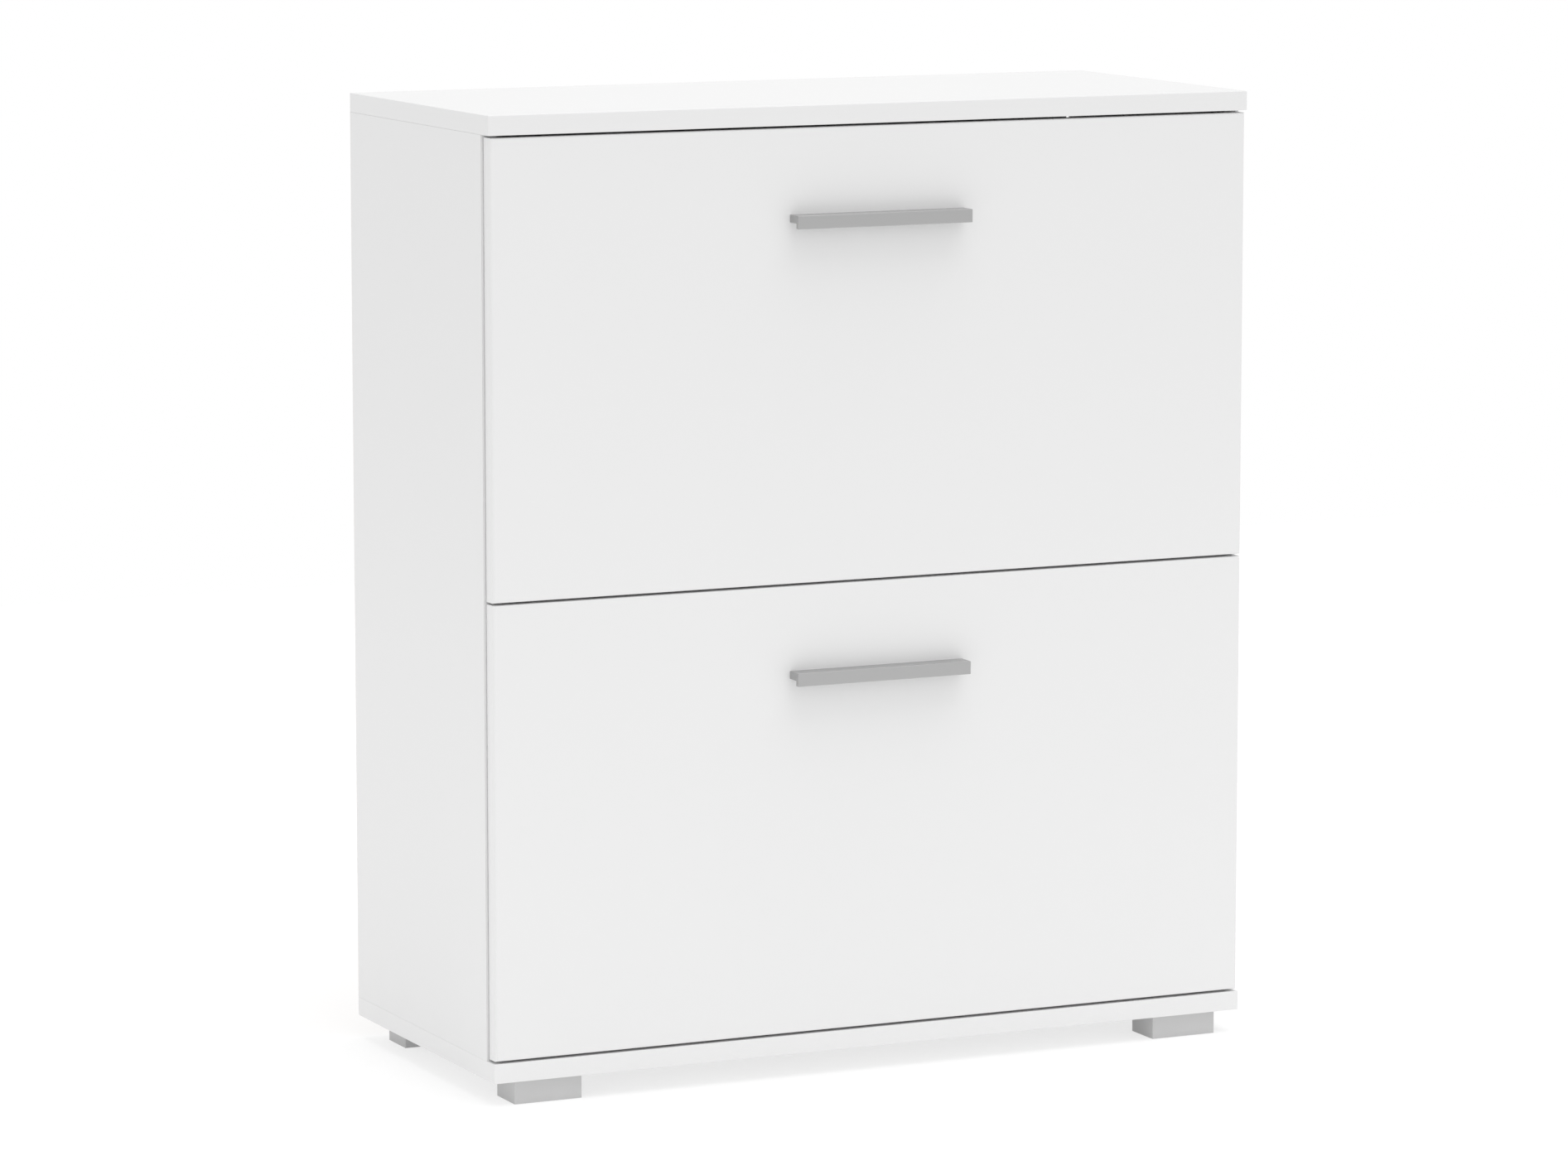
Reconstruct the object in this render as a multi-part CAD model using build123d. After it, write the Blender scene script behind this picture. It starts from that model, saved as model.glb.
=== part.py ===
from build123d import *
import math
import os

# A low shoe cabinet with two tip-out flaps, one above the other.
# Working frame: X to the right, Y to the back, Z up. X = 0 is the middle of the width, Y = 0 is the
# front edge of the top, Z = 0 is the floor. save() moves every piece so that the origin is under the
# middle of the whole cabinet, handles included.

# ---- Driving sizes, in millimetres ------------------------------------------------------------

# Carcass
WIDTH = 770.0                  # outside width of the top and of the base
DEPTH = 334.0                  # front to back of the top and of the base
CARCASS_HEIGHT = 878.0         # underside of the base to the upper face of the top
TOP_THICKNESS = 18.0
BASE_THICKNESS = 18.0
SIDE_THICKNESS = 15.0
SHELF_THICKNESS = 15.0
BACK_THICKNESS = 3.0
BACK_RECESS = 1.0              # rear face of the back panel, in front of the carcass's rear face
REBATE_WIDTH = 7.0             # how far the back panel reaches over each panel around it
BACK_PLAY = 0.5                # between the back panel's edges and its rebate
BACK_DROP = 36.0               # from the underside of the top to the back panel's upper edge
RAIL_THICKNESS = 15.0          # rail under the top that the back panel is nailed to
RAIL_HEIGHT = 60.0
RAIL_BRACKET_ROOM = 3.0        # from each end of the rail to the wall bracket beside it
RAIL_DOWEL_INSET = 60.0        # from each end of the rail to its outer dowels
CORNER_ROUNDING = 0.8          # upright front corners of the top and of the base
EDGE_ROUNDING = 0.6            # long edges of the top and of the base
SHELF_DROP = 4.0               # middle of the shelf, below the middle of the gap between the doors

# Feet
FOOT_WIDTH = 66.5
FOOT_DEPTH = 41.5
FOOT_HEIGHT = 22.0
FOOT_SIDE_INSET = 22.5
FOOT_FRONT_INSET = 6.0
FOOT_REAR_INSET = 21.0
FOOT_ROUNDING = 0.8
FOOT_SCREW_SPACING = 40.0
FOOT_SCREW_SINK = 12.0         # depth of the counterbore under a foot screw's head
FOOT_SCREW_HEAD_ROOM = 1.0     # around that head, in the counterbore

# Doors
DOOR_THICKNESS = 15.0
DOOR_GAP = 2.2                 # above, between and below the doors
DOOR_SIDE_INSET = 2.0          # from the outside of the cabinet to each side edge of a door
DOOR_SETBACK = 0.5             # face of a door, behind the front edge of the top
DOOR_ROUNDING = 2.0            # front edges of a door, and the radius that it turns about
DOOR_STANDOFF = 0.8            # between a door and the front edges of the side panels
BUFFER_RADIUS = 4.0
BUFFER_END_DISTANCE = 30.0     # from a door's upper and lower edge to the middle of a buffer

# Handles
HANDLE_LENGTH = 177.0
HANDLE_PROJECTION = 18.0
HANDLE_PLATE_THICKNESS = 4.5
HANDLE_PLATE_HEIGHT = 12.2
HANDLE_WEB_HEIGHT = 7.3
HANDLE_DROP = 78.5             # from a door's upper edge to the top of its handle
HANDLE_BEVEL = 0.4
HANDLE_SCREW_SPACING = 160.0
HANDLE_SCREW_REACH = 10.0      # how far a handle screw goes into the handle

# Flap frames: sections are laid out from the flap's turning line, back (y) and up (z)
TRACK_RADIUS = 150.0           # of the curved slot, about the turning line
OPEN_ANGLE = 45.0              # how far a flap tips out
LOW_PEG_ANGLE = 52.0           # place of the lower peg on the track, up from the horizontal
HIGH_PEG_ANGLE = 74.0
TRACK_END_PLAY = 0.3           # degrees of spare track past each peg at the ends of travel
PEG_RADIUS = 5.0
TRACK_PLAY = 0.3               # between a peg and the side of its slot
PEG_SHORTFALL = 0.5            # from the end of a peg to the inner face of the frame
PEG_BEVEL = 0.6
FRAME_THICKNESS = 4.0
FRAME_GAP = 1.5                # between a frame and its guide plate
FRAME_BOTTOM = 4.0
BASKET_REAR_ROOM = 27.5        # from the back panel to a closed flap's frames
TRACK_COVER = 28.0             # from the middle of the track to the top of a frame's front
FRAME_REAR_HEIGHT = 138.0
FRAME_CORNER = 8.0
RIM_WALL = 2.5
RIM_HEIGHT = 7.0
WINDOW_BOTTOM = 58.0
WINDOW_HEIGHT = 60.0
WINDOW_FRONT_RUN = 39.5        # from the partition back to the frame's window
WINDOW_REAR_RUN = 26.0         # from the window back to the backrest
WINDOW_CORNER = 10.0
WINDOW_CORNER_SHARE = 0.45     # largest corner radius, as a share of a short window's length
FLANGE_WIDTH = 22.0
FLANGE_THICKNESS = 3.0
SOCKET_WALL = 2.5              # plastic around a board's end
SOCKET_DEPTH = 12.0
BOARD_PLAY = 0.15              # around a board in its socket

# Boards of a flap, laid out from the same line
FLOOR_THICKNESS = 12.0
FRONT_FLOOR_BOTTOM = 10.0
REAR_FLOOR_BOTTOM = 34.0
SHEET_THICKNESS = 3.0
PARTITION_Y = 152.0            # middle of the partition's thickness
PARTITION_TOP = 146.0
BACKREST_TOP = 128.0
BACKREST_SETBACK = 8.0         # from the frame's rear edge to the backrest's rear face
FLOOR_GAP = 4.5                # from the flange, the partition and the backrest to a floor board
FLOOR_SCREW_INSET = 30.0       # from a floor board's front and rear edge to its screws
FLANGE_SCREW_SPACING = 66.0

# Guide plates
GUIDE_END = 11.4               # from the middle of a peg to the end of its plate
GUIDE_WIDTH = 44.0
GUIDE_THICKNESS = 3.0
GUIDE_CORNER = 6.0
GUIDE_SCREW_PLACES = ((-20.0, -13.0), (20.0, -13.0), (0.0, 13.0))

# Wall brackets
BRACKET_WIDTH = 24.0
BRACKET_LEG = 32.0
BRACKET_THICKNESS = 2.0
BRACKET_BEND = 3.0             # outer radius of the bend
BRACKET_HOLE_RADIUS = 3.0
BRACKET_HOLE_DROP = 20.0       # from the underside of the top to the middle of the wall hole
BRACKET_SIDE_INSET = 14.0      # from a side panel's inner face to the middle of a bracket
BRACKET_SCREW_SPACING = 12.0
BRACKET_SCREW_RUN = 19.0       # from the bracket's rear face to its screws
BRACKET_RECESS = 1.0           # rear face of a bracket, in front of the carcass's rear face

# Panel fittings
CAM_RADIUS = 7.5
CAM_DEPTH = 12.0
CAM_DISTANCE = 24.0            # from a joint's face to the middle of its cam lock
CAM_PLAY = 0.1
CAM_SLOT_WIDTH = 1.6
CAM_SLOT_DEPTH = 2.0
CAM_EDGE_DISTANCE = 50.0       # from a panel's front and rear edge to its cam fittings
CAM_BOLT_RADIUS = 3.0
CAM_BOLT_PLAY = 0.5            # around the shank, in the panel that holds the cam
CAM_BOLT_THREAD = 11.0         # how far a cam bolt screws into its panel
CAM_THREAD_RADIUS = 2.5
DOWEL_RADIUS = 4.0
DOWEL_REACH = 11.0             # into the face of a panel
DOWEL_EDGE_REACH = 18.0        # into the end of a panel
DOWEL_SPACING = 32.0           # from a cam bolt to its dowel
NAIL_RADIUS = 0.8
NAIL_LENGTH = 18.0
NAIL_HEAD_RADIUS = 2.0
NAIL_HEAD_THICKNESS = 0.7
NAIL_PITCH = 150.0             # largest distance between two nails
NAIL_CORNER_DISTANCE = 30.0    # from a corner of the back to its first nails

# Screws: (shank radius, head radius, head height, whole length)
FOOT_SCREW = (2.0, 4.0, 2.6, 24.0)
FITTING_SCREW = (1.75, 3.5, 2.2, 14.0)
BOARD_SCREW = (1.75, 3.5, 2.2, 30.0)
HANDLE_SCREW = (2.0, 4.25, 2.6, 0.0)    # its length follows the door and the handle
SCREW_PLAY = 0.05
RECESS_WIDTH = 0.9             # of the cross in a screw's head
RECESS_DEPTH = 1.2
TIP_RADIUS = 0.3               # flat end of a screw's point

HOLE_SPARE = 1.0               # extra depth of a blind hole, and how far a cut runs past a face
NEAR = 0.01                    # edges within this distance of a place are the ones there

# ---- Sizes that follow ------------------------------------------------------------------------

BASE_BOTTOM = FOOT_HEIGHT
BASE_TOP = BASE_BOTTOM + BASE_THICKNESS
TOP_TOP = FOOT_HEIGHT + CARCASS_HEIGHT
TOP_BOTTOM = TOP_TOP - TOP_THICKNESS
HALF_WIDTH = WIDTH / 2
SIDE_INNER = HALF_WIDTH - SIDE_THICKNESS

DOOR_HEIGHT = (TOP_BOTTOM - BASE_TOP - 3 * DOOR_GAP) / 2
DOOR_HALF_WIDTH = HALF_WIDTH - DOOR_SIDE_INSET
DOOR_BACK = DOOR_SETBACK + DOOR_THICKNESS
SIDE_FRONT = DOOR_BACK + DOOR_STANDOFF
BACK_FRONT = DEPTH - BACK_RECESS - BACK_THICKNESS
BACK_TOP = TOP_BOTTOM - BACK_DROP
RAIL_BOTTOM = TOP_BOTTOM - RAIL_HEIGHT
RAIL_END = SIDE_INNER - BRACKET_SIDE_INSET - BRACKET_WIDTH / 2 - RAIL_BRACKET_ROOM
BRACKET_REAR = DEPTH - BRACKET_RECESS
MIDDLE_GAP = BASE_TOP + DOOR_GAP + DOOR_HEIGHT + DOOR_GAP / 2
SHELF_BOTTOM = MIDDLE_GAP - SHELF_DROP - SHELF_THICKNESS / 2
SHELF_TOP = SHELF_BOTTOM + SHELF_THICKNESS

DOOR_BOTTOMS = {"lower": BASE_TOP + DOOR_GAP, "upper": BASE_TOP + 2 * DOOR_GAP + DOOR_HEIGHT}
TURN_Y = DOOR_SETBACK + DOOR_ROUNDING
TURN_Z = {flap: bottom + DOOR_ROUNDING for flap, bottom in DOOR_BOTTOMS.items()}
DOOR_BACK_RUN = DOOR_BACK - TURN_Y    # from the turning line back to the door's rear face

HANDLE_FRONT = DOOR_SETBACK - HANDLE_PROJECTION
MIDDLE_Y = (HANDLE_FRONT + DEPTH) / 2

GUIDE_FACE = SIDE_INNER - GUIDE_THICKNESS
FRAME_OUTER = GUIDE_FACE - FRAME_GAP
FRAME_INNER = FRAME_OUTER - FRAME_THICKNESS
FRAME_REAR = BACK_FRONT - TURN_Y - BASKET_REAR_ROOM
FRAME_FRONT_HEIGHT = TRACK_RADIUS + TRACK_COVER
HALF_PEG_ANGLE = math.radians((HIGH_PEG_ANGLE - LOW_PEG_ANGLE) / 2)
GUIDE_LENGTH = 2 * (TRACK_RADIUS * math.sin(HALF_PEG_ANGLE) + GUIDE_END)

SIDES = {"left": -1, "right": 1}

CAM_ROWS = (SIDE_FRONT + CAM_EDGE_DISTANCE, DEPTH - CAM_EDGE_DISTANCE)
DOWEL_ROWS = (CAM_ROWS[0] + DOWEL_SPACING, CAM_ROWS[1] - DOWEL_SPACING)


# ---- Plain shapes -----------------------------------------------------------------------------

def block(x_low, x_high, y_low, y_high, z_low, z_high):
    """A box between two corners."""
    middle = Pos((x_low + x_high) / 2, (y_low + y_high) / 2, (z_low + z_high) / 2)
    return middle * Box(x_high - x_low, y_high - y_low, z_high - z_low)


def along(start, direction):
    """A plane at a point, with its normal along a direction."""
    return Plane(origin=start, z_dir=direction)


def rod(start, direction, radius, length):
    """A round bar from a point along a direction."""
    bar = Cylinder(radius, length, align=(Align.CENTER, Align.CENTER, Align.MIN))
    return along(start, direction) * bar


def screw(start, direction, size, play=0.0):
    """A countersunk screw whose head's face is at start, or its hole when there is play."""
    shank_radius, head_radius, head_height, length = size
    base = (Align.CENTER, Align.CENTER, Align.MIN)
    tip_height = shank_radius
    head = Cone(head_radius + play, shank_radius + play, head_height, align=base)
    shank = Cylinder(shank_radius + play, length - tip_height, align=base)
    tip = Pos(0, 0, length - tip_height) * Cone(shank_radius + play, TIP_RADIUS + play, tip_height,
                                                     align=base)
    body = head + shank + tip
    if play == 0.0:
        arm = head_radius
        for arms in (Box(arm, RECESS_WIDTH, RECESS_DEPTH, align=base),
                     Box(RECESS_WIDTH, arm, RECESS_DEPTH, align=base)):
            body -= arms
    return along(start, direction) * body


def drilled(board, tools):
    """A board less every tool that reaches into its box."""
    low = board.bounding_box().min
    high = board.bounding_box().max
    reaching = []
    for tool in tools:
        box = tool.bounding_box()
        apart = (box.min.X > high.X or box.max.X < low.X or box.min.Y > high.Y
                 or box.max.Y < low.Y or box.min.Z > high.Z or box.max.Z < low.Z)
        if not apart:
            reaching.append(tool)
    return board - reaching if reaching else board


def group(solids):
    """Separate solids kept together as one piece of the parts list."""
    return Compound([solid for shape in solids for solid in shape.solids()])


# ---- Panel fittings: each function gives (solids, holes) ----------------------------------------

def panel_joints():
    """Every joint as (place in X and Z, direction into the holding panel, direction of the screw end)."""
    joints = []
    for sign in SIDES.values():
        side_middle = sign * (HALF_WIDTH - SIDE_THICKNESS / 2)
        joints.append(((side_middle, TOP_BOTTOM), (0, 0, -1), (sign, 0, 0)))
        joints.append(((side_middle, BASE_TOP), (0, 0, 1), (sign, 0, 0)))
        joints.append(((sign * SIDE_INNER, SHELF_BOTTOM + SHELF_THICKNESS / 2), (-sign, 0, 0), (0, 0, 1)))
    return joints


def shifted(point, direction, distance):
    """A point moved along a direction."""
    return tuple(p + d * distance for p, d in zip(point, direction))


def opposite(direction):
    """The direction turned round."""
    return tuple(-d for d in direction)


def cam_fittings():
    """Cam locks and the bolts they pull on, with the holes for both."""
    cams, bolts, cam_holes, bolt_holes = [], [], [], []
    for (x, z), inward, outer in panel_joints():
        thickness = SIDE_THICKNESS if inward[0] == 0 else SHELF_THICKNESS
        for y in CAM_ROWS:
            face = (x, y, z)
            middle = shifted(face, inward, CAM_DISTANCE)
            mouth = shifted(middle, outer, -thickness / 2)
            shank_length = CAM_DISTANCE
            shank = rod(face, inward, CAM_BOLT_RADIUS, shank_length)
            thread = rod(face, opposite(inward), CAM_THREAD_RADIUS, CAM_BOLT_THREAD)
            bolts.append(shank + thread)
            thread_hole = rod(face, opposite(inward), CAM_THREAD_RADIUS, CAM_BOLT_THREAD + HOLE_SPARE)
            shank_hole = rod(face, inward, CAM_BOLT_RADIUS + CAM_BOLT_PLAY, shank_length)
            bolt_holes.append(thread_hole)
            bolt_holes.append(shank_hole)
            cam = rod(mouth, outer, CAM_RADIUS, CAM_DEPTH)
            cam -= rod(face, inward, CAM_BOLT_RADIUS + CAM_BOLT_PLAY, shank_length + CAM_BOLT_PLAY)
            slot = Box(2 * CAM_RADIUS, CAM_SLOT_WIDTH, CAM_SLOT_DEPTH)
            cam -= along(mouth, outer) * slot
            cams.append(cam)
            cam_holes.append(rod(mouth, outer, CAM_RADIUS + CAM_PLAY, CAM_DEPTH + CAM_PLAY))
    return cams, bolts, cam_holes + bolt_holes


def dowel_fittings():
    """Wooden dowels beside the cam bolts, with their holes."""
    places = [((x, y, z), inward) for (x, z), inward, _ in panel_joints() for y in DOWEL_ROWS]
    rail_middle = BACK_FRONT - RAIL_THICKNESS / 2
    for x in (RAIL_DOWEL_INSET - RAIL_END, 0, RAIL_END - RAIL_DOWEL_INSET):
        places.append(((x, rail_middle, TOP_BOTTOM), (0, 0, -1)))
    length = DOWEL_REACH + DOWEL_EDGE_REACH
    dowels, holes = [], []
    for place, inward in places:
        start = shifted(place, inward, -DOWEL_REACH)
        dowels.append(rod(start, inward, DOWEL_RADIUS, length))
        hole_start = shifted(start, inward, -HOLE_SPARE)
        holes.append(rod(hole_start, inward, DOWEL_RADIUS, length + 2 * HOLE_SPARE))
    return dowels, holes


def foot_places():
    """Middle of each foot, by name."""
    x = HALF_WIDTH - FOOT_SIDE_INSET - FOOT_WIDTH / 2
    rows = {
        "front": FOOT_FRONT_INSET + FOOT_DEPTH / 2,
        "rear": DEPTH - FOOT_REAR_INSET - FOOT_DEPTH / 2,
    }
    return {f"foot_{row}_{side}": (sign * x, y) for row, y in rows.items() for side, sign in SIDES.items()}


def foot_screws(play=0.0):
    """Two screws up through each foot into the base."""
    made = []
    for x, y in foot_places().values():
        for offset in (-FOOT_SCREW_SPACING / 2, FOOT_SCREW_SPACING / 2):
            made.append(screw((x + offset, y, FOOT_SCREW_SINK), (0, 0, 1), FOOT_SCREW, play))
    return made


def bracket_places():
    """Middle of each wall bracket in X, by side."""
    return {side: sign * (SIDE_INNER - BRACKET_SIDE_INSET) for side, sign in SIDES.items()}


def bracket_screws(play=0.0):
    """Two screws up through each bracket into the top."""
    made = []
    y = BRACKET_REAR - BRACKET_SCREW_RUN
    for x in bracket_places().values():
        for offset in (-BRACKET_SCREW_SPACING / 2, BRACKET_SCREW_SPACING / 2):
            start = (x + offset, y, TOP_BOTTOM - BRACKET_THICKNESS)
            made.append(screw(start, (0, 0, 1), FITTING_SCREW, play))
    return made


def guide_middle(flap):
    """Middle of a guide plate in Y and Z: half way between its two pegs."""
    half_angle = math.radians((LOW_PEG_ANGLE + HIGH_PEG_ANGLE) / 2)
    run = TRACK_RADIUS * math.cos(HALF_PEG_ANGLE)
    return TURN_Y + run * math.cos(half_angle), TURN_Z[flap] + run * math.sin(half_angle)


def guide_plane(flap):
    """Plane of a right-hand guide plate on the side panel: x along the pegs, normal towards the panel."""
    y, z = guide_middle(flap)
    tilt = math.radians((LOW_PEG_ANGLE + HIGH_PEG_ANGLE) / 2 - 90.0)
    return Plane(origin=(GUIDE_FACE, y, z), x_dir=(0, math.cos(tilt), math.sin(tilt)), z_dir=(1, 0, 0))


def mirrored(shape):
    """The same shape on the other side of the cabinet."""
    return mirror(shape, about=Plane.YZ)


def guide_screws(flap, play=0.0):
    """The right-hand guide plate's screws, from its face into the side panel."""
    plane = guide_plane(flap)
    made = []
    for x, y in GUIDE_SCREW_PLACES:
        start = tuple(plane.from_local_coords(Vector(x, y, 0)))
        made.append(screw(start, (1, 0, 0), FITTING_SCREW, play))
    return made


def evenly(low, high, pitch):
    """Places from low to high, both kept, no further apart than pitch."""
    count = max(1, math.ceil((high - low) / pitch))
    return [low + (high - low) * i / count for i in range(count + 1)]


def nail_places():
    """Where the back panel is nailed: along the middle of its rebates, to the shelf and to the rail."""
    inset = REBATE_WIDTH / 2
    x = SIDE_INNER + inset
    low = BASE_TOP - inset
    shelf = (SHELF_BOTTOM + SHELF_TOP) / 2
    places = []
    for z in evenly(low + NAIL_CORNER_DISTANCE, BACK_TOP - NAIL_CORNER_DISTANCE, NAIL_PITCH):
        places += [(-x, z), (x, z)]
    for along_x in evenly(-x + NAIL_CORNER_DISTANCE, x - NAIL_CORNER_DISTANCE, NAIL_PITCH):
        places += [(along_x, low), (along_x, shelf)]
    rail_row = (RAIL_BOTTOM + BACK_TOP) / 2
    places += [(rail_x, rail_row) for rail_x in evenly(NAIL_CORNER_DISTANCE - RAIL_END,
                                                       RAIL_END - NAIL_CORNER_DISTANCE, NAIL_PITCH)]
    return places


def back_nails():
    """Nails through the back panel into the boards around and behind it, with their holes."""
    nails, holes = [], []
    face = BACK_FRONT + BACK_THICKNESS
    for x, z in nail_places():
        head = rod((x, face, z), (0, 1, 0), NAIL_HEAD_RADIUS, NAIL_HEAD_THICKNESS)
        shank = rod((x, face, z), (0, -1, 0), NAIL_RADIUS, NAIL_LENGTH)
        nails.append(head + shank)
        hole_start = (x, face + HOLE_SPARE, z)
        holes.append(rod(hole_start, (0, -1, 0), NAIL_RADIUS, NAIL_LENGTH + 2 * HOLE_SPARE))
    return nails, holes


# ---- Carcass ----------------------------------------------------------------------------------

def back_rebate():
    """The space in the rear edges of the base and the sides that the back panel sits in."""
    return block(-SIDE_INNER - REBATE_WIDTH, SIDE_INNER + REBATE_WIDTH, BACK_FRONT, DEPTH + HOLE_SPARE,
                 BASE_TOP - REBATE_WIDTH, TOP_BOTTOM + HOLE_SPARE)


def outer_panel(z_low, z_high):
    """The top or the base: full width and depth, with softened outer edges."""
    board = block(-HALF_WIDTH, HALF_WIDTH, 0, DEPTH, z_low, z_high)
    corners = [edge for edge in board.edges().filter_by(Axis.Z) if edge.center().Y < NEAR]
    board = fillet(corners, CORNER_ROUNDING)
    rims = [edge for face in board.faces().filter_by(Axis.Z) for edge in face.edges()
            if edge.center().Y < DEPTH - NEAR]
    return fillet(rims, EDGE_ROUNDING)


def side_panel(sign):
    """A side panel between the base and the top."""
    inner = sign * SIDE_INNER
    outer = sign * HALF_WIDTH
    board = block(min(inner, outer), max(inner, outer), SIDE_FRONT, DEPTH, BASE_TOP, TOP_BOTTOM)
    return board - back_rebate()


def middle_shelf():
    """The fixed shelf between the two flaps."""
    return block(-SIDE_INNER, SIDE_INNER, SIDE_FRONT, BACK_FRONT, SHELF_BOTTOM, SHELF_TOP)


def back_panel():
    """The thin back, which stops below the wall brackets, on the rail under the top."""
    edge = REBATE_WIDTH - BACK_PLAY
    return block(-SIDE_INNER - edge, SIDE_INNER + edge, BACK_FRONT, BACK_FRONT + BACK_THICKNESS,
                 BASE_TOP - edge, BACK_TOP)


def rear_rail():
    """The rail under the rear edge of the top, between the wall brackets."""
    return block(-RAIL_END, RAIL_END, BACK_FRONT - RAIL_THICKNESS, BACK_FRONT, RAIL_BOTTOM, TOP_BOTTOM)


def foot(x, y):
    """A block foot with two counterbored screw holes."""
    block_foot = block(x - FOOT_WIDTH / 2, x + FOOT_WIDTH / 2, y - FOOT_DEPTH / 2, y + FOOT_DEPTH / 2,
                       0, FOOT_HEIGHT)
    block_foot = fillet(block_foot.edges().filter_by(Axis.Z), FOOT_ROUNDING)
    for offset in (-FOOT_SCREW_SPACING / 2, FOOT_SCREW_SPACING / 2):
        bore_radius = FOOT_SCREW[1] + FOOT_SCREW_HEAD_ROOM
        block_foot -= rod((x + offset, y, -HOLE_SPARE), (0, 0, 1), bore_radius, FOOT_SCREW_SINK + HOLE_SPARE)
    return block_foot


def wall_bracket(x):
    """An angle of sheet steel under the rear edge of the top."""
    side_view = Plane.YZ * make_face(Polyline(
        (BRACKET_REAR, TOP_BOTTOM), (BRACKET_REAR - BRACKET_LEG, TOP_BOTTOM),
        (BRACKET_REAR - BRACKET_LEG, TOP_BOTTOM - BRACKET_THICKNESS),
        (BRACKET_REAR - BRACKET_THICKNESS, TOP_BOTTOM - BRACKET_THICKNESS),
        (BRACKET_REAR - BRACKET_THICKNESS, TOP_BOTTOM - BRACKET_LEG),
        (BRACKET_REAR, TOP_BOTTOM - BRACKET_LEG), close=True))
    angle = Pos(x, 0, 0) * extrude(side_view, BRACKET_WIDTH / 2, both=True)
    for setback, radius in ((0, BRACKET_BEND), (BRACKET_THICKNESS, BRACKET_BEND - BRACKET_THICKNESS)):
        bend = [edge for edge in angle.edges().filter_by(Axis.X)
                if abs(edge.center().Y - BRACKET_REAR + setback) < NEAR
                and abs(edge.center().Z - TOP_BOTTOM + setback) < NEAR]
        angle = fillet(bend, radius)
    hole_start = (x, BRACKET_REAR + HOLE_SPARE, TOP_BOTTOM - BRACKET_HOLE_DROP)
    return angle - rod(hole_start, (0, -1, 0), BRACKET_HOLE_RADIUS, BRACKET_THICKNESS + 2 * HOLE_SPARE)


def guide_plate(flap):
    """The right-hand guide plate with the two pegs that a flap's track runs on."""
    plane = guide_plane(flap)
    plate = extrude(plane * RectangleRounded(GUIDE_LENGTH, GUIDE_WIDTH, GUIDE_CORNER), GUIDE_THICKNESS)
    peg_length = FRAME_GAP + FRAME_THICKNESS - PEG_SHORTFALL
    for angle in (LOW_PEG_ANGLE, HIGH_PEG_ANGLE):
        y = TURN_Y + TRACK_RADIUS * math.cos(math.radians(angle))
        z = TURN_Z[flap] + TRACK_RADIUS * math.sin(math.radians(angle))
        peg = rod((GUIDE_FACE, y, z), (-1, 0, 0), PEG_RADIUS, peg_length)
        plate += chamfer(peg.edges().sort_by(Axis.X)[0], PEG_BEVEL)
    return drilled(plate, guide_screws(flap, SCREW_PLAY))


def buffers():
    """Rubber buffers on the side panels' front edges, behind the corners of the doors."""
    made = []
    for bottom in DOOR_BOTTOMS.values():
        for sign in SIDES.values():
            x = sign * (HALF_WIDTH - SIDE_THICKNESS / 2)
            for z in (bottom + BUFFER_END_DISTANCE, bottom + DOOR_HEIGHT - BUFFER_END_DISTANCE):
                made.append(rod((x, DOOR_BACK, z), (0, 1, 0), BUFFER_RADIUS, DOOR_STANDOFF))
    return made


# ---- Flaps ------------------------------------------------------------------------------------

def section_boards():
    """Each board of a flap in section: name to (y low, y high, z low, z high) from the turning line."""
    flange_back = DOOR_BACK_RUN + FLANGE_THICKNESS
    partition_front = PARTITION_Y - SHEET_THICKNESS / 2
    partition_back = PARTITION_Y + SHEET_THICKNESS / 2
    backrest_back = FRAME_REAR - BACKREST_SETBACK
    backrest_front = backrest_back - SHEET_THICKNESS
    rear_floor_top = REAR_FLOOR_BOTTOM + FLOOR_THICKNESS
    return {
        "front_floor": (flange_back + FLOOR_GAP, partition_front - FLOOR_GAP,
                        FRONT_FLOOR_BOTTOM, FRONT_FLOOR_BOTTOM + FLOOR_THICKNESS),
        "rear_floor": (partition_back + FLOOR_GAP, backrest_front - FLOOR_GAP,
                       REAR_FLOOR_BOTTOM, rear_floor_top),
        "partition": (partition_front, partition_back, FRONT_FLOOR_BOTTOM, PARTITION_TOP),
        "backrest": (backrest_front, backrest_back, REAR_FLOOR_BOTTOM, BACKREST_TOP),
    }


def flap_board(flap, name):
    """One of the boards between a flap's two side frames."""
    y_low, y_high, z_low, z_high = section_boards()[name]
    return block(-FRAME_INNER, FRAME_INNER, TURN_Y + y_low, TURN_Y + y_high,
                 TURN_Z[flap] + z_low, TURN_Z[flap] + z_high)


def grown(section, amount):
    """A section with every side moved out."""
    y_low, y_high, z_low, z_high = section
    return y_low - amount, y_high + amount, z_low - amount, z_high + amount


def frame_window():
    """The opening that lightens a side frame, between the partition and the backrest."""
    sections = section_boards()
    front = sections["partition"][1] + WINDOW_FRONT_RUN
    length = sections["backrest"][0] - WINDOW_REAR_RUN - front
    corner = min(WINDOW_CORNER, length * WINDOW_CORNER_SHARE)
    middle = Pos(front + length / 2, WINDOW_BOTTOM + WINDOW_HEIGHT / 2)
    return middle * RectangleRounded(length, WINDOW_HEIGHT, corner)


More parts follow.
